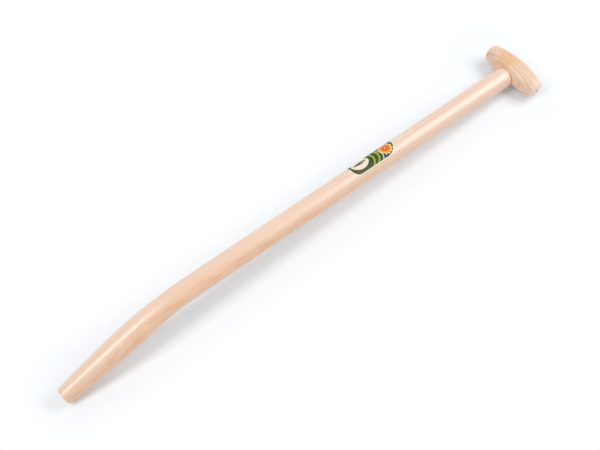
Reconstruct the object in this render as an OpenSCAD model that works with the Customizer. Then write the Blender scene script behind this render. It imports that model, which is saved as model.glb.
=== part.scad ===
// Wooden T-handle for a digging tool: a round shaft, bent and swollen near its foot,
// with a turned cross grip on a wedged and pinned tenon, and a paper sticker.
// It lies on the floor on the grip's belly and the tip of the foot, bend downwards.
// Millimetres, +Z up, +X from the foot to the grip, origin under the middle.

/* [Shaft] */
// Diameter of the straight shaft
shaft_d = 36; // [28:0.5:42]
// From the grip's axis to the start of the bend
straight_l = 711; // [450:1:1000]
// Radius of the bend, along the shaft's axis
bend_r = 260; // [180:5:500]
// Angle of the bend in degrees
bend_angle = 20.3; // [10:0.1:30]
// Rounding of the shoulder under the grip
shoulder_round = 4; // [1:0.5:4]

/* [Foot] */
// Straight foot from the bend to the tip
foot_l = 158; // [145:1:260]
// Diameter at the fattest place
swell_d = 40.5; // [37:0.5:48]
// From the tip to the fattest place
swell_at = 132; // [90:1:140]
// Length over which the swelling runs out into the shaft
swell_blend = 96; // [50:1:110]
// Diameter at the tip
tip_d = 29; // [22:0.5:35]
// Rounding of the tip's edge
tip_round = 2.5; // [1:0.5:5]

/* [Grip] */
// Length of the cross grip
grip_l = 115; // [90:1:150]
// Diameter in the middle
grip_d = 45; // [40:0.5:56]
// Diameter at the ends
grip_end_d = 29; // [20:0.5:36]
// Rounding of the end edges
grip_round = 6; // [1:0.5:8]
// Width of the lathe-centre mark in each end
centre_d = 3.2; // [1.5:0.1:5]

/* [Joint] */
// Diameter of the tenon
tenon_d = 26; // [20:0.5:27]
// Glue gap round the tenon
glue_gap = 0.15; // [0.05:0.05:0.3]
// Thickness of the wedge at its outer end
wedge_t = 3.2; // [2:0.1:5]
// Thickness of the wedge at its inner end
wedge_tip_t = 1; // [0.6:0.1:1.8]
// How deep the wedge goes from the top of the grip
wedge_depth = 26; // [18:0.5:27]
// Diameter of the steel pin
pin_d = 4; // [2.5:0.5:5]
// From the grip's axis to the pin, towards the foot
pin_at = 10; // [8:0.5:11]
// How far the pin sits under the surface
pin_sink = 0.6; // [0.2:0.1:1.5]

/* [Sticker] */
// Length along the shaft
label_l = 95; // [60:1:120]
// Width round the shaft
label_w = 49; // [30:1:52]
// Thickness
label_t = 0.2; // [0.1:0.05:0.4]
// Paste under it
paste_t = 0.1; // [0.05:0.05:0.2]
// From the grip's axis to the end that faces the grip
label_at = 286; // [150:1:400]
// Turn of its middle line from the top of the shaft, in degrees
label_turn = 40; // [0:1:60]
// Corner radius at the end that faces the foot
label_corner = 14; // [3:0.5:20]

/* [Hidden] */
$fn = 96;
// How far a cutting shape runs past what it cuts
past = 1;
shaft_r = shaft_d / 2;
swell_r = swell_d / 2;
tip_r = tip_d / 2;
grip_r = grip_d / 2;
grip_h = grip_l / 2;
grip_end_r = grip_end_d / 2;
tenon_r = tenon_d / 2;
label_in_r = shaft_r + paste_t;
label_r = label_in_r + label_t;

// Lengths along the shaft's axis, counted from the grip's axis
arc_l = bend_r * bend_angle * PI / 180;
axis_l = straight_l + arc_l + foot_l;

// Radius of the shaft at a distance from the tip
function shaft_radius(u) =
    u < swell_at ? tip_r + (swell_r - tip_r) * sin(90 * u / swell_at)
    : u < swell_at + swell_blend
        ? shaft_r + (swell_r - shaft_r) * (1 + cos(180 * (u - swell_at) / swell_blend)) / 2
    : shaft_r;

// The same with the tip's rounded edge
tip_flank = shaft_radius(tip_round);
function foot_radius(u) =
    u < tip_round
        ? tip_flank - tip_round + sqrt(tip_round * tip_round - pow(tip_round - u, 2))
        : shaft_radius(u);

// Radius of the grip at a distance from its middle
function barrel(y) = grip_end_r + (grip_r - grip_end_r) * cos(90 * y / grip_h);
function grip_radius(y) =
    let (q = max(0, 1 - (grip_h - abs(y)) / grip_round))
    barrel(y) - grip_round * (1 - sqrt(max(0, 1 - q * q)));

// The shoulder stops where it meets the belly beside the tenon
shoulder_x = grip_radius(tenon_r);

// The pin starts at the underside, crosses the tenon and ends halfway through the far wall
pin_low = -sqrt(grip_r * grip_r - pin_at * pin_at);
pin_high = (tenon_r - pin_low) / 2;

// Radius of the shaft's body at a distance from the grip's axis, with its rounded shoulder
function body_radius(s) =
    s < shoulder_x + shoulder_round
        ? shaft_r - shoulder_round
          + sqrt(max(0, pow(shoulder_round, 2) - pow(shoulder_x + shoulder_round - s, 2)))
        : foot_radius(axis_l - s);

// The shaft's axis at a distance from the grip's axis: its turn, and its place seen from the side
function turn(s) = max(0, min(bend_angle, (s - straight_l) / bend_r * 180 / PI));
function past_bend(s) = max(0, s - straight_l - arc_l);
function spine_x(s) =
    -min(s, straight_l) - bend_r * sin(turn(s)) - past_bend(s) * cos(bend_angle);
function spine_z(s) = -bend_r * (1 - cos(turn(s))) - past_bend(s) * sin(bend_angle);
tip_x = spine_x(axis_l);
tip_z = spine_z(axis_l);

// Centre of the rounded edge of the tip on its lower side (k = 1) or upper side (k = -1)
edge_r = tip_flank - tip_round;
function edge_x(k) = tip_x + tip_round * cos(bend_angle) + k * edge_r * sin(bend_angle);
function edge_z(k) = tip_z + tip_round * sin(bend_angle) - k * edge_r * cos(bend_angle);

// Pitch at which the belly of the grip and the tip touch the floor together
edge_far = sqrt(pow(edge_x(1), 2) + pow(edge_z(1), 2));
pitch = asin((tip_round - grip_r) / edge_far) - atan2(edge_z(1), -edge_x(1));
far_x = edge_x(-1) * cos(pitch) + edge_z(-1) * sin(pitch) - tip_round;
middle_x = (far_x + grip_r) / 2;

// Ends of the sticker, as distances from the grip's axis, at a place across its width
label_half = label_w / 2;
function label_from(y) = label_at + label_half - sqrt(max(0, label_half * label_half - y * y));
function label_to(y) =
    let (c = max(0, abs(y) - label_half + label_corner))
    label_at + label_l - label_corner + sqrt(max(0, label_corner * label_corner - c * c));

// Puts a piece drawn with the grip's axis at zero onto the floor
module laid() {
    translate([-middle_x, 0, grip_r]) rotate([0, pitch, 0]) children();
}

// Turns a shape drawn along +Z to run along +X
module along_x() {
    rotate([0, 90, 0]) children();
}

// Turned barrel of the grip, before it is bored
module barrel_solid() {
    steps = 28;
    edge = 8;
    ys = concat(
        [for (i = [0 : edge - 1]) -grip_h + grip_round * (1 - cos(90 * i / edge))],
        [for (i = [0 : steps]) (grip_h - grip_round) * (2 * i / steps - 1)],
        [for (i = [edge - 1 : -1 : 0]) grip_h - grip_round * (1 - cos(90 * i / edge))]);
    rotate([90, 0, 0]) rotate_extrude()
        polygon(concat([[0, -grip_h]], [for (y = ys) [grip_radius(y), y]], [[0, grip_h]]));
}

// Wedge with faces that run on past the grip's outer side and the tenon
module wedge_solid() {
    wide = tenon_d + 2 * past;
    slope = (wedge_t - wedge_tip_t) / wedge_depth / 2;
    half_top = wedge_t / 2 + slope * past;
    translate([0, 0, -wide / 2]) linear_extrude(wide)
        polygon([
            [grip_r - wedge_depth, -wedge_tip_t / 2],
            [grip_r + past, -half_top],
            [grip_r + past, half_top],
            [grip_r - wedge_depth, wedge_tip_t / 2]]);
}

// Pin from a height below the grip's axis to its end inside the far wall
module pin_solid(low) {
    translate([-pin_at, 0, low]) cylinder(d = pin_d, h = pin_high - low);
}

// Round body from the shoulder over the bend to the tip: rings of points along the axis
module shaft_body() {
    sides = 56;
    edge = 5;
    steps = 42;
    curved_from = min(straight_l, axis_l - swell_at - swell_blend);
    stations = concat(
        [for (i = [0 : edge]) shoulder_x + shoulder_round * (1 - cos(90 * i / edge))],
        [for (i = [0 : steps]) curved_from + (axis_l - tip_round - curved_from) * i / steps],
        [for (i = [1 : edge]) axis_l - tip_round * (1 - sin(90 * i / edge))]);
    points = [for (s = stations, j = [0 : sides - 1])
        let (r = body_radius(s), t = turn(s), a = 360 * j / sides)
        [spine_x(s) - r * cos(a) * sin(t), r * sin(a), spine_z(s) + r * cos(a) * cos(t)]];
    rings = len(stations);
    skin = [for (i = [0 : rings - 2], j = [0 : sides - 1])
        let (k = (j + 1) % sides)
        [i * sides + j, (i + 1) * sides + j, (i + 1) * sides + k, i * sides + k]];
    first = [for (j = [0 : sides - 1]) j];
    last = [for (j = [sides - 1 : -1 : 0]) (rings - 1) * sides + j];
    polyhedron(points, concat(skin, [first, last]), convexity = 4);
}

// Tenon through the grip, trimmed flush with its outer side
module shaft_tenon() {
    along_x() translate([0, 0, -shoulder_x]) cylinder(r = tenon_r, h = shoulder_x);
    intersection() {
        along_x() cylinder(r = tenon_r, h = grip_d);
        barrel_solid();
    }
}

// Ash shaft: sawn, turned and bent by steam, with a kerf in its tenon
module shaft() color([0.93, 0.78, 0.65]) laid() {
    difference() {
        union() {
            shaft_body();
            shaft_tenon();
        }
        wedge_solid();
        pin_solid(pin_low);
    }
}

// Turned cross grip with the mortise for the tenon and a centre mark in each end
module grip() color([0.91, 0.76, 0.6]) laid() {
    difference() {
        barrel_solid();
        along_x() cylinder(r = tenon_r + glue_gap, h = 2 * grip_d, center = true);
        pin_solid(pin_low - pin_d);
        for (k = [-1, 1])
            translate([0, k * grip_h, 0]) rotate([k * 90, 0, 0])
                cylinder(d1 = centre_d, d2 = centre_d / 8, h = centre_d);
    }
}

// Wooden wedge that spreads the tenon along the grip
module tenon_wedge() color([0.62, 0.44, 0.3]) laid() {
    intersection() {
        wedge_solid();
        along_x() cylinder(r = tenon_r, h = 2 * grip_d, center = true);
        barrel_solid();
    }
}

// Plain steel pin, driven in from the underside
module grip_pin() color([0.6, 0.61, 0.63]) laid() {
    pin_solid(pin_low + pin_sink);
}

// Paper sticker bent round the shaft, round at the end towards the grip, built row by row
module label() color([0.36, 0.48, 0.24]) laid() rotate([-label_turn, 0, 0]) {
    rows = 48;
    points = [for (i = [0 : rows])
        let (y = label_half * sin(180 * i / rows - 90), a = y / label_r * 180 / PI)
        for (r = [label_in_r, label_r], s = [label_from(y), label_to(y)])
            [-s, r * sin(a), r * cos(a)]];
    // Corners of one row in order, and each side of the strip between two of them
    corners = [0, 1, 3, 2];
    sides = [for (i = [0 : rows - 1], j = [0 : 3])
        let (p = 4 * i + corners[j], q = 4 * i + corners[(j + 1) % 4])
        [p, p + 4, q + 4, q]];
    first = [for (c = corners) c];
    last = [for (j = [3 : -1 : 0]) 4 * rows + corners[j]];
    polyhedron(points, concat(sides, [first, last]), convexity = 4);
}

shaft();
grip();
tenon_wedge();
grip_pin();
label();
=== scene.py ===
import math

import bpy
from mathutils import Matrix, Vector


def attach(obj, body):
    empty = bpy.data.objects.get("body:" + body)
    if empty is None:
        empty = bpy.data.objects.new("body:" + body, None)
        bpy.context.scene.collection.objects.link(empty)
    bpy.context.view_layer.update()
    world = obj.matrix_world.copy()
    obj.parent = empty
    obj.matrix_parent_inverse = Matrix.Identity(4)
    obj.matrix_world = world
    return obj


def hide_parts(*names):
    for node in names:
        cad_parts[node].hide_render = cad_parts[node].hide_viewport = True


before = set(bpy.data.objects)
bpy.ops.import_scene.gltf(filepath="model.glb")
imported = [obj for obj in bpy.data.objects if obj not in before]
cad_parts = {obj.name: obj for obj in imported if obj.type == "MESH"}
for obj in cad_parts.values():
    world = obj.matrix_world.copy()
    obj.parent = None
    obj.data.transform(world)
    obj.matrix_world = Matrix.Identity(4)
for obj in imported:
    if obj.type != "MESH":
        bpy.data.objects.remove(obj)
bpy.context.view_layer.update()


# The grip is a short barrel of ash, turned between the lathe's two centres, which leave a
# prick in each end. It is bored through the middle for the shaft's tenon, drilled from
# below for the pin, sanded and given one thin coat of varnish.
GRIP = {
    "Length": 0.115,
    "Middle Radius": 0.0225,
    "End Radius": 0.0145,
    "End Round": 0.006,
    "Mortise Radius": 0.01315,
    "Centre Mark": 0.0016,
    "Pin Radius": 0.002,
    "Pin At": 0.010,
    "Pin Low": -0.0242,
    "Pin High": 0.016578,
    "Pitch": math.radians(3.7303),
    "Grip Height": 0.0225,
    "Grip Place": 0.466535,
}
QUARTER = math.pi / 2
SEAM = 2e-6
SLIVER = 5e-6
SHARP_EDGE = 0.6
BARREL_ROWS = (4, 9, 100, 9, 4)
BARREL_SIDES = 112
MORTISE_CUT = 0.1
PIN_SIDES = 32
PRICK_SIDES = 24
PRICK_POINT = 0.0002
PRICK_PROUD = 0.0001
GRIP_PALE = (0.90, 0.675, 0.51)
GRIP_DEEP = (0.75, 0.46, 0.285)
GRIP_HEART = (1.0, 0.93, 0.82)
GRIP_HEART_AT = 0.016
GRIP_HEART_REACH = 0.085
# Pale end wood; the same colour is used for the painted sheen and painted light on the grip's sides.
GRIP_END_WOOD_AND_SHEEN = (0.91, 0.76, 0.65)
# Painted shade for the lathe's pricks.
GRIP_PRICK_SHADE = (0.06, 0.03, 0.018)
FLAME_TINT = (0.94, 0.80, 0.64)
PORE_TINT = (0.66, 0.50, 0.38)


class Field:
    """A number in a node tree, so that a rule for a shape or a finish reads as a formula."""

    def __init__(self, tree, socket):
        self.tree = tree
        self.socket = socket

    def by(self, operation, *others):
        node = self.tree.nodes.new("ShaderNodeMath")
        node.operation = operation
        for socket, value in zip(node.inputs, (self,) + others):
            plug(self.tree, value, socket)
        return Field(self.tree, node.outputs[0])

    def __add__(self, other):
        return self.by("ADD", other)

    __radd__ = __add__

    def __sub__(self, other):
        return self.by("SUBTRACT", other)

    def __rsub__(self, other):
        return (self * -1.0).by("ADD", other)

    def __mul__(self, other):
        return self.by("MULTIPLY", other)

    __rmul__ = __mul__

    def __truediv__(self, other):
        return self.by("DIVIDE", other)

    def sin(self):
        return self.by("SINE")

    def cos(self):
        return self.by("COSINE")

    def root(self):
        return self.by("MAXIMUM", 0.0).by("SQRT")

    def least(self, other):
        return self.by("MINIMUM", other)

    def most(self, other):
        return self.by("MAXIMUM", other)

    def unit(self):
        return self.most(0.0).least(1.0)

    def ramp(self, low, high):
        """0 below low, 1 above high, eased between them."""
        node = self.tree.nodes.new("ShaderNodeMapRange")
        node.interpolation_type = "SMOOTHSTEP"
        plug(self.tree, self, node.inputs["Value"])
        plug(self.tree, low, node.inputs["From Min"])
        plug(self.tree, high, node.inputs["From Max"])
        return Field(self.tree, node.outputs["Result"])


def plug(tree, value, socket):
    """Links a field or socket, or writes a plain value on the socket."""
    if isinstance(value, Field):
        tree.links.new(value.socket, socket)
    elif isinstance(value, bpy.types.NodeSocket):
        tree.links.new(value, socket)
    else:
        socket.default_value = value


def step(tree, kind, settings=None, **values):
    """One node, with its settings, and its inputs by name with _ for a space."""
    node = tree.nodes.new(kind)
    for name, value in (settings or {}).items():
        setattr(node, name, value)
    for name, value in values.items():
        plug(tree, value, node.inputs[name.replace("_", " ")])
    return node


def vector(tree, x, y, z):
    return step(tree, "ShaderNodeCombineXYZ", X=x, Y=y, Z=z).outputs[0]


def parts_of(tree, source):
    node = step(tree, "ShaderNodeSeparateXYZ", Vector=source)
    return [Field(tree, socket) for socket in node.outputs]


def noise(tree, place, scale, detail, rough=0.5):
    return step(tree, "ShaderNodeTexNoise", Vector=place, Scale=scale, Detail=detail, Roughness=rough)


def mixed(tree, share, under, over, blend="MIX"):
    """One colour laid over another, by a share from 0 to 1."""
    node = step(tree, "ShaderNodeMix", {"data_type": "RGBA", "blend_type": blend})
    for number, value in zip((0, 6, 7), (share, under, over)):
        plug(tree, value + (1.0,) if isinstance(value, tuple) else value, node.inputs[number])
    return node.outputs[2]


def new_tree(name, sizes):
    """A geometry tree with one named input for each size; returns it with the inputs as fields."""
    tree = bpy.data.node_groups.new(name, "GeometryNodeTree")
    tree.interface.new_socket("Mesh", in_out="OUTPUT", socket_type="NodeSocketGeometry")
    for label, value in sizes.items():
        socket = tree.interface.new_socket(label, in_out="INPUT", socket_type="NodeSocketFloat")
        socket.default_value = value
    entry = tree.nodes.new("NodeGroupInput")
    given = {label: Field(tree, entry.outputs[label]) for label in sizes}
    return tree, given


def end_tree(tree, mesh):
    tree.links.new(mesh, tree.nodes.new("NodeGroupOutput").inputs["Mesh"])


def sweep_grid(tree, rows, sides):
    """A grid to be rolled up: returns its mesh, row number and angle round the piece."""
    grid = step(tree, "GeometryNodeMeshGrid", Vertices_X=rows + 1, Vertices_Y=sides + 1)
    index = Field(tree, tree.nodes.new("GeometryNodeInputIndex").outputs[0])
    row = (index / float(sides + 1) + 1e-4).by("FLOOR")
    angle = (index - row * float(sides + 1)) * (2.0 * math.pi / sides)
    return grid.outputs["Mesh"], row, angle


def runs(row, counts):
    """For runs of rows one after another: how far along each run a row is, from 0 to 1."""
    far = []
    start = 0
    for count in counts:
        far.append(((row - float(start)) / float(count)).unit())
        start += count
    return far


def shaped(tree, mesh, position):
    """Rolls a grid up and closes its seam and poles."""
    moved = step(tree, "GeometryNodeSetPosition", Geometry=mesh, Position=position)
    return step(tree, "GeometryNodeMergeByDistance",
                Geometry=moved.outputs[0], Distance=SEAM).outputs[0]


def with_grain(tree, mesh, along, across, up):
    """Keeps, on each point, where it lay in the straight stick it was cut from."""
    return step(tree, "GeometryNodeStoreNamedAttribute",
                {"data_type": "FLOAT_VECTOR", "domain": "POINT"},
                Geometry=mesh, Name="grain", Value=vector(tree, along, across, up)).outputs[0]


def rod(tree, sides, radius, length, at, turn):
    """A round cutter with its middle at a place."""
    made = step(tree, "GeometryNodeMeshCylinder", Vertices=sides, Radius=radius, Depth=length)
    return step(tree, "GeometryNodeTransform", Geometry=made.outputs["Mesh"],
                Translation=at, Rotation=turn).outputs[0]


def cut(tree, body, cutters):
    """The body less the cutters, with the slivers along the cuts closed up."""
    node = step(tree, "GeometryNodeMeshBoolean", {"operation": "DIFFERENCE", "solver": "EXACT"})
    plug(tree, body, node.inputs["Mesh 1"])
    for cutter in cutters:
        plug(tree, cutter, node.inputs["Mesh 2"])
    return step(tree, "GeometryNodeMergeByDistance",
                Geometry=node.outputs["Mesh"], Distance=SLIVER).outputs[0]


def laid(tree, mesh, given, finish):
    """Smooth but for sharp edges, laid on the floor at the handle's pitch, and given its finish."""
    bend = tree.nodes.new("GeometryNodeInputMeshEdgeAngle").outputs["Unsigned Angle"]
    soft = step(tree, "FunctionNodeCompare", {"operation": "LESS_THAN"}, A=bend, B=SHARP_EDGE)
    smooth = step(tree, "GeometryNodeSetShadeSmooth", {"domain": "FACE"}, Geometry=mesh)
    edged = step(tree, "GeometryNodeSetShadeSmooth", {"domain": "EDGE"},
                 Geometry=smooth.outputs[0], Shade_Smooth=soft.outputs[0])
    down = step(tree, "GeometryNodeTransform", Geometry=edged.outputs[0],
                Translation=vector(tree, given["Grip Place"], 0.0, given["Grip Height"]),
                Rotation=vector(tree, 0.0, given["Pitch"], 0.0))
    real = step(tree, "GeometryNodeRealizeInstances", Geometry=down.outputs[0])
    return step(tree, "GeometryNodeSetMaterial",
                Geometry=real.outputs[0], Material=finish).outputs[0]


def made_by(tree, name, sizes):
    """Runs a tree at these sizes and returns its result as a plain mesh object."""
    piece = bpy.data.objects.new(name, bpy.data.meshes.new(name + "_start"))
    bpy.context.scene.collection.objects.link(piece)
    modifier = piece.modifiers.new("form", "NODES")
    modifier.node_group = tree
    for item in tree.interface.items_tree:
        if item.in_out == "INPUT" and item.name in sizes:
            modifier[item.identifier] = sizes[item.name]
    shown = piece.evaluated_get(bpy.context.evaluated_depsgraph_get())
    mesh = bpy.data.meshes.new_from_object(shown)
    mesh.name = name
    piece.modifiers.clear()
    piece.data = mesh
    return piece


def barrel_group():
    """The turned form of the grip along Y, from one formula for its radius."""
    wanted = ("Length", "Middle Radius", "End Radius", "End Round")
    tree, given = new_tree("turned barrel", {label: GRIP[label] for label in wanted})
    mesh, row, angle = sweep_grid(tree, sum(BARREL_ROWS), BARREL_SIDES)
    face, edge, belly, far_edge, far_face = runs(row, BARREL_ROWS)
    half = given["Length"] * 0.5
    turn = given["End Round"]
    y = (turn * (1.0 - (edge * QUARTER).cos()) - half
         + (given["Length"] - turn * 2.0) * belly + turn * (far_edge * QUARTER).sin())
    bow = (y / half * QUARTER).cos()
    barrel = given["End Radius"] + (given["Middle Radius"] - given["End Radius"]) * bow
    near_end = (1.0 - (half - y.by("ABSOLUTE")) / turn).unit()
    radius = barrel - turn * (1.0 - (1.0 - near_end * near_end).root())
    radius = radius * face * (1.0 - far_face)
    place = vector(tree, radius * angle.cos(), y, radius * angle.sin())
    end_tree(tree, shaped(tree, mesh, place))
    return tree


barrel_tree = barrel_group()


def barrel_in(tree, given):
    """The turned barrel as it is used inside another tree."""
    node = tree.nodes.new("GeometryNodeGroup")
    node.node_tree = barrel_tree
    for socket in node.inputs:
        if socket.name in given:
            plug(tree, given[socket.name], socket)
    return node.outputs["Mesh"]


def wood_group():
    """Solid ash: growth rings round a pith, fibres and pores that run along the stick."""
    tree = bpy.data.node_groups.new("solid ash", "ShaderNodeTree")
    for label, kind in (("Grain", "Vector"), ("Pith", "Vector"), ("Ring Width", "Float"),
                        ("Ring Show", "Float"), ("Pale", "Color"), ("Deep", "Color"),
                        ("Heart", "Color"), ("Heart Shift", "Float"), ("Gloss", "Float")):
        tree.interface.new_socket(label, in_out="INPUT", socket_type="NodeSocket" + kind)
    for label, kind in (("Color", "Color"), ("Roughness", "Float"), ("Height", "Float")):
        tree.interface.new_socket(label, in_out="OUTPUT", socket_type="NodeSocket" + kind)
    entry = tree.nodes.new("NodeGroupInput")
    given = {socket.name: Field(tree, socket) for socket in entry.outputs if socket.name}

    def stretched(scale, detail, rough, colour=False):
        """Noise drawn out along the stick."""
        wide = step(tree, "ShaderNodeVectorMath", {"operation": "MULTIPLY"})
        plug(tree, given["Grain"], wide.inputs[0])
        wide.inputs[1].default_value = scale
        drawn_out = noise(tree, wide.outputs[0], 1.0, detail, rough)
        return drawn_out.outputs["Color"] if colour else Field(tree, drawn_out.outputs["Fac"])

    wander = step(tree, "ShaderNodeVectorMath", {"operation": "MULTIPLY_ADD"})
    plug(tree, stretched((2.2, 16.0, 16.0), 2.0, 0.5, True), wander.inputs[0])
    wander.inputs[1].default_value = (0.0, 0.009, 0.009)
    plug(tree, given["Grain"], wander.inputs[2])
    off = step(tree, "ShaderNodeVectorMath", {"operation": "SUBTRACT"})
    plug(tree, wander.outputs[0], off.inputs[0])
    plug(tree, given["Pith"], off.inputs[1])
    across, up = parts_of(tree, off.outputs[0])[1:]
    far = (across * across + up * up).root()
    phase = (far / given["Ring Width"]).by("FRACT")
    late = phase.by("POWER", 2.4) * (1.0 - phase.ramp(0.93, 1.0))

    streak = stretched((5.0, 150.0, 150.0), 2.0, 0.55)
    fibre = stretched((14.0, 700.0, 700.0), 3.0, 0.6)
    tone = stretched((2.6, 34.0, 34.0), 2.0, 0.5)
    pore = stretched((60.0, 3000.0, 3000.0), 1.0, 0.5).ramp(0.60, 0.74)
    pore = pore * (1.0 - phase.ramp(0.15, 0.7) * 0.75)

    deep = (late * given["Ring Show"] + (streak - 0.5) * 0.75 + (fibre - 0.5) * 0.45
            + (tone - 0.5) * 0.8 + 0.22).unit()
    colour = mixed(tree, deep, given["Pale"], given["Deep"])
    from_heart = far + given["Heart Shift"] + (tone - 0.5) * 0.02 + (streak - 0.5) * 0.02
    heart = from_heart.ramp(0.008, -0.008)
    flame = stretched((36.0, 175.0, 175.0), 3.0, 0.6).ramp(0.40, 0.70)
    warm = mixed(tree, heart, colour, given["Heart"], "MULTIPLY")
    flamed = mixed(tree, heart * flame, warm, FLAME_TINT, "MULTIPLY")
    dark = mixed(tree, pore * 0.45, flamed, PORE_TINT, "MULTIPLY")

    leave = tree.nodes.new("NodeGroupOutput")
    plug(tree, dark, leave.inputs["Color"])
    plug(tree, given["Gloss"] + (fibre - 0.5) * 0.14 + pore * 0.12, leave.inputs["Roughness"])
    plug(tree, late * 0.25 + fibre * 0.35 - pore * 0.6, leave.inputs["Height"])
    return tree


wood_tree = wood_group()


def wood_finish(name, grain, pith, ring_width, ring_show, pale, deep, gloss, shine, coat,
                heart=(1.0, 1.0, 1.0)):
    """A varnished wood; returns the material, its surface shader and the wood's node."""
    finish = bpy.data.materials.new(name)
    finish.use_nodes = True
    tree = finish.node_tree
    surface = tree.nodes["Principled BSDF"]
    wood = tree.nodes.new("ShaderNodeGroup")
    wood.node_tree = wood_tree
    plug(tree, grain(tree), wood.inputs["Grain"])
    wood.inputs["Pith"].default_value = pith
    wood.inputs["Ring Width"].default_value = ring_width
    wood.inputs["Ring Show"].default_value = ring_show
    wood.inputs["Pale"].default_value = pale + (1.0,)
    wood.inputs["Deep"].default_value = deep + (1.0,)
    wood.inputs["Heart"].default_value = heart + (1.0,)
    wood.inputs["Heart Shift"].default_value = 1.0
    wood.inputs["Gloss"].default_value = gloss
    plug(tree, wood.outputs["Color"], surface.inputs["Base Color"])
    plug(tree, wood.outputs["Roughness"], surface.inputs["Roughness"])
    relief = step(tree, "ShaderNodeBump", Strength=0.25, Distance=0.0002,
                  Height=wood.outputs["Height"])
    plug(tree, relief.outputs[0], surface.inputs["Normal"])
    surface.inputs["Specular IOR Level"].default_value = shine
    surface.inputs["Coat Weight"].default_value = coat[0]
    surface.inputs["Coat Roughness"].default_value = coat[1]
    return finish, surface, wood


def kept_grain(tree):
    return step(tree, "ShaderNodeAttribute", {"attribute_name": "grain"}).outputs["Vector"]


grip_finish, surface, wood = wood_finish(
    "varnished_ash_grip", kept_grain, pith=(0.0, 0.055, -0.005), ring_width=0.0048, ring_show=1.0,
    pale=GRIP_PALE, deep=GRIP_DEEP, gloss=0.46, shine=0.5, coat=(0.15, 0.30), heart=GRIP_HEART)
tree = grip_finish.node_tree
along, across, up = parts_of(tree, kept_grain(tree))
plug(tree, (along - GRIP_HEART_AT).by("ABSOLUTE") * 1.6 - GRIP_HEART_REACH, wood.inputs["Heart Shift"])
grip_end = GRIP["Length"] / 2

# The wood is paler at the ends, most of all at the near one. A painted sheen along its outer side and
# painted light on its front make it paler there too.
from_middle = along.by("ABSOLUTE") + across * 0.35
end_wood = from_middle.ramp(grip_end - 0.018, grip_end - 0.001)
end_wood = end_wood * along.ramp(0.05, -0.02) * 0.5 + end_wood * 0.25
outer_painted_sheen = across.ramp(0.004, 0.020) * 0.4
front_painted_light = across.ramp(-0.012, -0.020) * 0.28
paler = mixed(tree, end_wood.most(outer_painted_sheen).most(front_painted_light), wood.outputs["Color"], GRIP_END_WOOD_AND_SHEEN)

# Painted shade darkens the lathe's pricks and a ring round each.
axis_far = (across * across + up * up).root()
at_end = along.by("ABSOLUTE").ramp(grip_end - 0.0045, grip_end - 0.0040)
prick_painted_shade = mixed(tree, axis_far.ramp(0.0026, 0.0015) * at_end, paler, GRIP_PRICK_SHADE)
plug(tree, prick_painted_shade, surface.inputs["Base Color"])


def pin_hole_in(tree, given):
    """A cutter for the pin's hole, which goes up through the grip and the tenon."""
    middle = (given["Pin High"] + given["Pin Low"]) * 0.5
    return rod(tree, PIN_SIDES, given["Pin Radius"], given["Pin High"] - given["Pin Low"],
               vector(tree, given["Pin At"] * -1.0, 0.0, middle), (0, 0, 0))


tree, given = new_tree("bored grip", GRIP)
barrel = barrel_in(tree, given)
mortise = rod(tree, BARREL_SIDES, given["Mortise Radius"], MORTISE_CUT, (0, 0, 0), (0, QUARTER, 0))
cutters = [mortise, pin_hole_in(tree, given)]
for side in (-1.0, 1.0):
    cone = step(tree, "GeometryNodeMeshCone", Vertices=PRICK_SIDES, Radius_Top=PRICK_POINT,
                Radius_Bottom=given["Centre Mark"], Depth=given["Centre Mark"] * 2.0)
    prick_at = (given["Length"] * 0.5 + PRICK_PROUD) * side
    prick = step(tree, "GeometryNodeTransform", Geometry=cone.outputs["Mesh"],
                 Translation=vector(tree, 0.0, prick_at, 0.0), Rotation=(side * QUARTER, 0, 0))
    cutters.append(prick.outputs[0])
bored = cut(tree, barrel, cutters)
x, y, z = parts_of(tree, tree.nodes.new("GeometryNodeInputPosition").outputs[0])
end_tree(tree, laid(tree, with_grain(tree, bored, y, x, z), given, grip_finish))
grip = made_by(tree, "turned_grip", GRIP)
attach(grip, "root")
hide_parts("grip")


# The shaft is one length of ash, turned round, then steamed and bent near its foot, where
# it swells and tapers to go into a tool's socket. Its other end is a tenon, sawn for the
# wedge and trimmed flush with the grip once it is glued in. It has a satin varnish.
SHAFT = {
    "Shaft Radius": 0.018,
    "Straight Length": 0.711,
    "Bend Radius": 0.260,
    "Bend Angle": math.radians(20.3),
    "Foot Length": 0.158,
    "Swell Radius": 0.02025,
    "Swell At": 0.132,
    "Swell Blend": 0.096,
    "Tip Radius": 0.0145,
    "Tip Round": 0.0025,
    "Shoulder At": 0.022001,
    "Shoulder Round": 0.004,
    "Tenon Radius": 0.013,
    "Kerf From": -0.0035,
    "Kerf Narrow": 0.001,
    "Kerf Slope": (0.0032 - 0.001) / 0.026,
}
for label in ("Length", "Middle Radius", "End Radius", "End Round",
              "Pin Radius", "Pin At", "Pin Low", "Pin High", "Pitch", "Grip Height", "Grip Place"):
    SHAFT[label] = GRIP[label]
SHAFT_PALE = (0.885, 0.660, 0.515)
SHAFT_DEEP = (0.79, 0.50, 0.345)
SHAFT_HEART = (1.05, 0.95, 0.84)
SHAFT_HEART_AT = 0.68
SHAFT_HEART_REACH = 0.0655
# Painted shade on the shaft's shoulder where it rounds into the grip.
JOINT_SHADE = (0.93, 0.80, 0.68)
JOINT_SHADE_FROM = 0.0235
JOINT_SHADE_TO = 0.0275
VARNISH_IOR = 1.85
SHAFT_ROWS = (2, 7, 300, 9, 5)
SHAFT_SIDES = 96
WASTE_LONG = 0.06
WASTE_WIDE = 0.04
KERF_LONG = 0.032
KERF_HIGH = 0.03
ROOT_FACE = 1e-5

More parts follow.
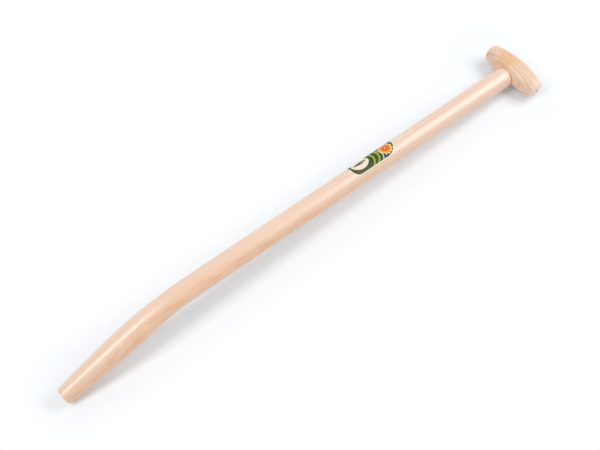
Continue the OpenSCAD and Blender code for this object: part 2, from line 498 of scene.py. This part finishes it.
shaft_finish, surface, wood = wood_finish(
    "varnished_ash_shaft", kept_grain, pith=(0.0, -0.038, -0.030), ring_width=0.0040, ring_show=0.42,
    pale=SHAFT_PALE, deep=SHAFT_DEEP, gloss=0.42, shine=0.15, coat=(1.0, 0.34), heart=SHAFT_HEART)
surface.inputs["Coat IOR"].default_value = VARNISH_IOR
tree = shaft_finish.node_tree
along = parts_of(tree, kept_grain(tree))[0]
drift = (SHAFT_HEART_AT - along).most(0.0) * 0.048 + (along - SHAFT_HEART_AT).most(0.0) * 0.035
plug(tree, drift - SHAFT_HEART_REACH, wood.inputs["Heart Shift"])
# Painted shade darkens the shaft's rounded shoulder next to the grip.
joint_painted_shade = mixed(tree, along.ramp(JOINT_SHADE_TO, JOINT_SHADE_FROM), wood.outputs["Color"], JOINT_SHADE, "MULTIPLY")
plug(tree, joint_painted_shade, surface.inputs["Base Color"])

tree, given = new_tree("bent shaft", SHAFT)
mesh, row, angle = sweep_grid(tree, sum(SHAFT_ROWS), SHAFT_SIDES)
shoulder, shoulder_edge, body, tip_edge, tip_face = runs(row, SHAFT_ROWS)
arc = given["Bend Radius"] * given["Bend Angle"]
axis = given["Straight Length"] + arc + given["Foot Length"]
clear = axis - given["Tip Round"] - given["Shoulder At"] - given["Shoulder Round"]
run = (given["Shoulder At"] + given["Shoulder Round"] * (1.0 - (shoulder_edge * QUARTER).cos())
       + clear * body + given["Tip Round"] * (tip_edge * QUARTER).sin())
from_tip = (axis - run).most(given["Tip Round"])
taper = (from_tip / given["Swell At"]).unit()
fade = ((from_tip - given["Swell At"]) / given["Swell Blend"]).unit()
swell = given["Swell Radius"] - given["Shaft Radius"]
foot_swell = given["Swell Radius"] - given["Tip Radius"]
grown = (given["Tip Radius"] + foot_swell * (taper * QUARTER).sin()
         + swell * ((fade * math.pi).cos() * 0.5 + 0.5) - swell)
flat = given["Shaft Radius"] - given["Shoulder Round"] - given["Tenon Radius"]
radius = (given["Tenon Radius"] + flat * shoulder
          + given["Shoulder Round"] * (shoulder_edge * QUARTER).sin()
          + (grown - given["Shaft Radius"]) - given["Tip Round"] * (1.0 - (tip_edge * QUARTER).cos()))
radius = radius * (1.0 - tip_face)
turn = ((run - given["Straight Length"]) / given["Bend Radius"]).most(0.0).least(given["Bend Angle"])
past = (run - given["Straight Length"] - arc).most(0.0)
spine_x = (run.least(given["Straight Length"]) + given["Bend Radius"] * turn.sin()
           + past * given["Bend Angle"].cos()) * -1.0
spine_z = (given["Bend Radius"] * (1.0 - turn.cos()) + past * given["Bend Angle"].sin()) * -1.0
side = radius * angle.sin() * -1.0
rise = radius * angle.cos()
place = vector(tree, spine_x - rise * turn.sin(), side, spine_z + rise * turn.cos())
moved = step(tree, "GeometryNodeSetPosition",
             Geometry=with_grain(tree, mesh, run, side, rise), Position=place)

# The tenon is a plain round peg; the wedge's kerf, the pin's hole and all that stands out of
# the grip are cut away from it.
peg_end = given["Middle Radius"] * 1.5
tenon = rod(tree, SHAFT_SIDES, given["Tenon Radius"], given["Shoulder At"] + peg_end,
            vector(tree, (peg_end - given["Shoulder At"]) * 0.5, 0.0, 0.0), (0, QUARTER, 0))
block = step(tree, "GeometryNodeMeshCube", Size=(WASTE_LONG, WASTE_WIDE, WASTE_WIDE))
outside = step(tree, "GeometryNodeTransform", Geometry=block.outputs["Mesh"],
               Translation=(WASTE_LONG / 2, 0, 0))
waste = cut(tree, outside.outputs[0], [barrel_in(tree, given)])
blank = step(tree, "GeometryNodeMeshCube", Size=(1.0, 1.0, 1.0))
bx, by, bz = parts_of(tree, tree.nodes.new("GeometryNodeInputPosition").outputs[0])
deep = (bx + 0.5) * KERF_LONG
kerf_wide = given["Kerf Narrow"] + given["Kerf Slope"] * deep
kerf = step(tree, "GeometryNodeSetPosition", Geometry=blank.outputs["Mesh"],
            Position=vector(tree, given["Kerf From"] + deep, by * kerf_wide, bz * KERF_HIGH))
trimmed = cut(tree, tenon, [waste, kerf.outputs[0], pin_hole_in(tree, given)])
x, y, z = parts_of(tree, tree.nodes.new("GeometryNodeInputPosition").outputs[0])
root_face = step(tree, "FunctionNodeCompare", {"operation": "LESS_THAN"},
                 A=x + given["Shoulder At"], B=ROOT_FACE)
open_peg = step(tree, "GeometryNodeDeleteGeometry", {"domain": "FACE"},
                Geometry=trimmed, Selection=root_face.outputs[0])
whole = tree.nodes.new("GeometryNodeJoinGeometry")
plug(tree, with_grain(tree, open_peg.outputs[0], x * -1.0, y, z), whole.inputs[0])
plug(tree, moved.outputs[0], whole.inputs[0])
closed = step(tree, "GeometryNodeMergeByDistance", Geometry=whole.outputs[0], Distance=SEAM)
end_tree(tree, laid(tree, closed.outputs[0], given, shaft_finish))
shaft = made_by(tree, "bent_shaft", SHAFT)
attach(shaft, "root")
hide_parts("shaft")


# The wedge is a thin slip of darker hardwood, driven into the kerf with glue so that the
# tenon spreads along the grip. Its outer end is planed flush with the grip.
WEDGE_PALE = (0.46, 0.27, 0.15)
WEDGE_DEEP = (0.30, 0.15, 0.075)


def wedge_grain(tree):
    """Its fibres run along the shaft, so its own place is turned to the handle's pitch."""
    own = step(tree, "ShaderNodeTexCoord")
    turned = step(tree, "ShaderNodeMapping", {"vector_type": "TEXTURE"},
                  Vector=own.outputs["Object"], Rotation=(0, GRIP["Pitch"], 0),
                  Location=(GRIP["Grip Place"], 0, GRIP["Grip Height"]))
    return turned.outputs[0]


wedge_finish = wood_finish(
    "oiled_hardwood_wedge", wedge_grain, pith=(0.0, 0.040, 0.020), ring_width=0.0022, ring_show=0.6,
    pale=WEDGE_PALE, deep=WEDGE_DEEP, gloss=0.50, shine=0.4, coat=(0.10, 0.30))[0]
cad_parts["tenon_wedge"].data.materials.clear()
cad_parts["tenon_wedge"].data.materials.append(wedge_finish)


# The pin is a cut length of drawn steel wire, driven up from under the grip through the
# tenon. Its end sits just under the wood, dull grey and faintly scratched.
PIN_STEEL = (0.56, 0.55, 0.53)
PIN_DULL = (0.30, 0.28, 0.26)
DRAWN_LINES = (2600, 2600, 160)
DULL_SPOTS = 900.0

pin_finish = bpy.data.materials.new("drawn_steel_pin")
pin_finish.use_nodes = True
tree = pin_finish.node_tree
surface = tree.nodes["Principled BSDF"]
own = step(tree, "ShaderNodeTexCoord")
drawn = step(tree, "ShaderNodeMapping", Vector=own.outputs["Object"], Scale=DRAWN_LINES)
lines = Field(tree, noise(tree, drawn.outputs[0], 1.0, 3.0).outputs["Fac"])
spots = Field(tree, noise(tree, own.outputs["Object"], DULL_SPOTS, 4.0).outputs["Fac"])
dulled = mixed(tree, spots.ramp(0.45, 0.7), PIN_STEEL, PIN_DULL)
plug(tree, dulled, surface.inputs["Base Color"])
plug(tree, lines * 0.3 + spots * 0.3 + 0.12, surface.inputs["Roughness"])
scratched = step(tree, "ShaderNodeBump", Strength=0.2, Distance=0.0001, Height=lines.socket)
plug(tree, scratched.outputs[0], surface.inputs["Normal"])
surface.inputs["Metallic"].default_value = 1.0
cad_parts["grip_pin"].data.materials.clear()
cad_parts["grip_pin"].data.materials.append(pin_finish)


# The sticker is gloss paper, printed, die-cut with one round end and pasted round the
# shaft. It shows plain shapes in a cream border: a low sun, sky, hills, furrows and a leaf.
LABEL = {
    "Long": 0.095,
    "Wide": 0.049,
    "From Grip": 0.286,
    "Turn": math.radians(40),
    "Corner": 0.014,
    "Outside Radius": 0.0183,
    "Thick": 0.00028,
    "Pitch": GRIP["Pitch"],
    "Grip Height": GRIP["Grip Height"],
    "Grip Place": GRIP["Grip Place"],
}
CREAM = (0.88, 0.82, 0.64)
PRINT_GREEN = (0.026, 0.070, 0.016)
PRINT_OLIVE = (0.080, 0.082, 0.018)
PRINT_LIME = (0.40, 0.44, 0.02)
PRINT_TEAL = (0.006, 0.130, 0.150)
PRINT_BLUE = (0.003, 0.035, 0.110)
PRINT_ORANGE = (0.86, 0.24, 0.05)
PRINT_YELLOW = (0.93, 0.62, 0.13)
PRINT_RED = (0.68, 0.06, 0.04)
PRINT_BROWN = (0.085, 0.045, 0.016)
SPECK_TINT = (0.86, 0.84, 0.80)
PRINT_DOTS = 5200.0
PAPER_RIPPLE = 95.0
LABEL_ROWS = 120
LABEL_COLUMNS = 96

# The print is laid out in millimetres, along the sheet from its round end and across it.
EDGE_SOFT = 0.14
BORDER = 1.6
SUN_AT = 19.0
SUN_ACROSS = -7.0
SUN_RAYS = 12.0
RAY_REACH = 12.5
RAY_POINT = 1.5
HILL_AT = 33.0
HILL_RISE = 3.2
FIELDS_END = 56.0
LEAF_AT = 72.5
LEAF_ACROSS = -4.0
LEAF_LONG = 13.0
BADGE_LONG = 17.0
BADGE_WIDE = 13.0

label_finish = bpy.data.materials.new("printed_gloss_paper")
label_finish.use_nodes = True
tree = label_finish.node_tree
surface = tree.nodes["Principled BSDF"]
surface.inputs["Specular IOR Level"].default_value = 0.25
printed = step(tree, "ShaderNodeAttribute", {"attribute_name": "print"}).outputs["Vector"]
long, wide = [part * 1000.0 for part in parts_of(tree, printed)[:2]]


def inside(depth):
    """A printed edge: 1 where the depth in millimetres is above 0."""
    return depth.ramp(-EDGE_SOFT, EDGE_SOFT)


def printed_over(under, ink, mask):
    return mixed(tree, mask, under, ink)


def distance(x, y):
    return (x * x + y * y).root()


half = LABEL["Wide"] * 500.0
corner = LABEL["Corner"] * 1000.0
round_end = half - distance((half - long).most(0.0), wide)
past_x = long - (LABEL["Long"] * 1000.0 - corner)
past_y = wide.by("ABSOLUTE") - (half - corner)
square_end = corner - distance(past_x.most(0.0), past_y.most(0.0)) - past_x.most(past_y).least(0.0)
depth = round_end.least(square_end)

hill = (wide * 0.16 + 0.6).sin() * HILL_RISE + HILL_AT
sky = printed_over(PRINT_BLUE, PRINT_TEAL, long.ramp(26.0, 6.0))
sun = distance(long - SUN_AT, wide - SUN_ACROSS)
rays = ((wide - SUN_ACROSS).by("ARCTAN2", long - SUN_AT) * SUN_RAYS).cos()
sky = printed_over(sky, PRINT_YELLOW, inside(RAY_REACH + rays * RAY_POINT - sun))
for ink, reach in ((PRINT_ORANGE, 9.5), (PRINT_RED, 5.0), (PRINT_YELLOW, 2.2)):
    sky = printed_over(sky, ink, inside(reach - sun))
land = printed_over(PRINT_GREEN, PRINT_OLIVE, long.ramp(50.0, 88.0))
furrow = ((long - hill) * 0.62 + wide * 0.25).sin()
land = printed_over(land, PRINT_LIME, inside(furrow * 2.0 - 0.9) * (1.0 - inside(long - FIELDS_END)))
land = printed_over(land, CREAM, inside(hill + 1.4 - long))
art = printed_over(land, sky, inside(hill - long))

leaf_x = long - LEAF_AT
leaf_y = wide - LEAF_ACROSS
badge = 1.0 - distance(leaf_x / BADGE_LONG, leaf_y / BADGE_WIDE)
art = printed_over(art, CREAM, inside(badge * BADGE_WIDE))
from_stalk = leaf_x.by("ABSOLUTE")
leaflet = (leaf_x * 0.9).sin().by("ABSOLUTE") * 4.2 * (1.0 - (from_stalk / LEAF_LONG).unit())
leaf = inside(leaflet + 0.9 - leaf_y.by("ABSOLUTE")) * inside(LEAF_LONG - from_stalk)
art = printed_over(art, PRINT_BROWN, leaf)
art = printed_over(CREAM, art, inside(depth - BORDER))

dots = step(tree, "ShaderNodeVectorMath", {"operation": "SCALE"}, Vector=printed, Scale=PRINT_DOTS)
speck = Field(tree, noise(tree, dots.outputs[0], 1.0, 2.0).outputs["Fac"])
inked = mixed(tree, (speck - 0.35).unit() * 0.8, art, SPECK_TINT, "MULTIPLY")
plug(tree, inked, surface.inputs["Base Color"])
ripple = Field(tree, noise(tree, printed, PAPER_RIPPLE, 2.0).outputs["Fac"])
plug(tree, speck * 0.12 + ripple * 0.16 + 0.22, surface.inputs["Roughness"])
paper = step(tree, "ShaderNodeBump", Strength=0.3, Distance=0.0002,
             Height=(ripple + speck * 0.05).socket)
plug(tree, paper.outputs[0], surface.inputs["Normal"])

tree, given = new_tree("pasted label", LABEL)
grid, row, angle = sweep_grid(tree, LABEL_ROWS, LABEL_COLUMNS)
half_wide = given["Wide"] * 0.5
across = half_wide * (angle * 0.5 - QUARTER).sin()
near = half_wide - (half_wide * half_wide - across * across).root()
over = (across.by("ABSOLUTE") - half_wide + given["Corner"]).most(0.0)
far = given["Long"] - given["Corner"] + (given["Corner"] * given["Corner"] - over * over).root()
along = near + (far - near) * (row / float(LABEL_ROWS))
wrap = across / given["Outside Radius"] + given["Turn"]
under = given["Outside Radius"] - given["Thick"]
kept = step(tree, "GeometryNodeStoreNamedAttribute",
            {"data_type": "FLOAT_VECTOR", "domain": "POINT"},
            Geometry=grid, Name="print", Value=vector(tree, along, across, 0.0))
place = vector(tree, (given["From Grip"] + along) * -1.0, under * wrap.sin(), under * wrap.cos())
bent = step(tree, "GeometryNodeSetPosition", Geometry=kept.outputs[0], Position=place)
raised = step(tree, "GeometryNodeExtrudeMesh", {"mode": "FACES"}, Mesh=bent.outputs[0],
              Offset_Scale=given["Thick"], Individual=False)
back = step(tree, "GeometryNodeFlipFaces", Mesh=bent.outputs[0])
sheet = tree.nodes.new("GeometryNodeJoinGeometry")
plug(tree, raised.outputs["Mesh"], sheet.inputs[0])
plug(tree, back.outputs[0], sheet.inputs[0])
closed = step(tree, "GeometryNodeMergeByDistance", Geometry=sheet.outputs[0], Distance=SEAM)
end_tree(tree, laid(tree, closed.outputs[0], given, label_finish))
label = made_by(tree, "pasted_label", LABEL)
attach(label, "root")
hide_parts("label")


# The handle lies on a white studio floor in a white room. A large soft lamp stands beyond the
# grip, a smaller one hangs out past the foot and a weak one stands behind. The camera looks
# down from over the foot's near side.
FLOOR_REACH = 8.0
FLOOR_WHITE = 0.93
FLOOR_GLOW = (0.008, 0.056, 0.095)
SHADOW_AT = 0.008
SHADOW_END = 0.46
SHADOW_REACH = 0.04
WHITE_FROM = 0.10
GRIP_SHADOW_FROM = 0.34
GRIP_SHADOW = 0.05
ROOM = 0.49
LENS = 66.505
SENSOR = 36.0
AZIMUTH = math.radians(-39.605)
ELEVATION = math.radians(60.237)
CAMERA_AIM = (-0.0169, 0.0080, 0.0004)
CAMERA_AWAY = 1.83141


def seen_directly(tree):
    """1 for what the camera sees, also in gloss or through glass, and 0 for light on its way."""
    path = step(tree, "ShaderNodeLightPath")
    seen = Field(tree, path.outputs["Is Camera Ray"])
    for name in ("Is Glossy Ray", "Is Transmission Ray"):
        seen = seen.most(Field(tree, path.outputs[name]))
    return seen


floor_mesh = bpy.data.meshes.new("floor")
floor_corners = [(-FLOOR_REACH, -FLOOR_REACH, 0.0), (FLOOR_REACH, -FLOOR_REACH, 0.0),
                 (FLOOR_REACH, FLOOR_REACH, 0.0), (-FLOOR_REACH, FLOOR_REACH, 0.0)]
floor_mesh.from_pydata(floor_corners, [], [(0, 1, 2, 3)])
floor = bpy.data.objects.new("floor", floor_mesh)
bpy.context.scene.collection.objects.link(floor)
floor_finish = bpy.data.materials.new("white_floor")
floor_finish.use_nodes = True
tree = floor_finish.node_tree
tree.nodes.remove(tree.nodes["Principled BSDF"])
plain = step(tree, "ShaderNodeBsdfDiffuse", Color=(FLOOR_WHITE, FLOOR_WHITE, FLOOR_WHITE, 1.0))
glow = step(tree, "ShaderNodeEmission", Color=FLOOR_GLOW + (1.0,), Strength=1.0)
white = step(tree, "ShaderNodeAddShader")
plug(tree, plain.outputs[0], white.inputs[0])
plug(tree, glow.outputs[0], white.inputs[1])

# Away from the handle's shadow the floor fades into the plain white of the backdrop.
x, y = parts_of(tree, step(tree, "ShaderNodeTexCoord").outputs["Object"])[:2]
aside = (y - SHADOW_AT).by("ABSOLUTE") - x.ramp(GRIP_SHADOW_FROM, SHADOW_END) * GRIP_SHADOW
from_shadow = distance((x.by("ABSOLUTE") - SHADOW_END).most(0.0), aside.most(0.0))
backdrop = step(tree, "ShaderNodeEmission", Color=(1.0, 1.0, 1.0, 1.0), Strength=1.0)
faded = step(tree, "ShaderNodeMixShader")
plug(tree, from_shadow.ramp(SHADOW_REACH, WHITE_FROM), faded.inputs[0])
plug(tree, white.outputs[0], faded.inputs[1])
plug(tree, backdrop.outputs[0], faded.inputs[2])
shown = step(tree, "ShaderNodeMixShader")
plug(tree, seen_directly(tree), shown.inputs[0])
plug(tree, plain.outputs[0], shown.inputs[1])
plug(tree, faded.outputs[0], shown.inputs[2])
plug(tree, shown.outputs[0], tree.nodes["Material Output"].inputs["Surface"])
floor_mesh.materials.append(floor_finish)

world = bpy.data.worlds.new("studio")
world.use_nodes = True
bpy.context.scene.world = world
tree = world.node_tree
tree.nodes["Background"].inputs["Color"].default_value = (1.0, 1.0, 1.0, 1.0)
plug(tree, seen_directly(tree) * (1.0 - ROOM) + ROOM, tree.nodes["Background"].inputs["Strength"])


def softbox(name, place, aim, size, watts):
    """A flat soft lamp that faces its aim, with its first side along the handle."""
    lamp = bpy.data.lights.new(name, "AREA")
    lamp.shape = "RECTANGLE"
    lamp.size = size[0]
    lamp.size_y = size[1]
    lamp.energy = watts
    holder = bpy.data.objects.new(name, lamp)
    back = (Vector(place) - Vector(aim)).normalized()
    across = (Vector((1, 0, 0)) - back * back.x).normalized()
    holder.matrix_world = Matrix((across, back.cross(across), back)).transposed().to_4x4()
    holder.location = place
    bpy.context.scene.collection.objects.link(holder)


softbox("grip_softbox", place=(1.5, -0.60, 1.5), aim=(0.35, 0.0, 0.0), size=(1.0, 1.7), watts=18.6)
softbox("foot_softbox", place=(-1.15, 0.20, 1.65), aim=(-0.40, 0.0, 0.0), size=(1.35, 0.55), watts=12.4)
softbox("back_softbox", place=(0.2, 1.6, 1.3), aim=(0.0, 0.0, 0.0), size=(2.4, 1.2), watts=4.5)

camera = bpy.data.cameras.new("camera")
camera.sensor_fit = "HORIZONTAL"
camera.sensor_width = SENSOR
camera.lens = LENS
shot = bpy.data.objects.new("camera", camera)
right = Vector((math.cos(AZIMUTH), math.sin(AZIMUTH), 0.0))
level = Vector((math.sin(AZIMUTH), -math.cos(AZIMUTH), 0.0))
away = level * math.cos(ELEVATION) + Vector((0.0, 0.0, math.sin(ELEVATION)))
shot.matrix_world = Matrix((right, away.cross(right), away)).transposed().to_4x4()
shot.location = Vector(CAMERA_AIM) + away * CAMERA_AWAY
bpy.context.scene.collection.objects.link(shot)
bpy.context.scene.camera = shot
bpy.context.scene.view_settings.view_transform = "Standard"
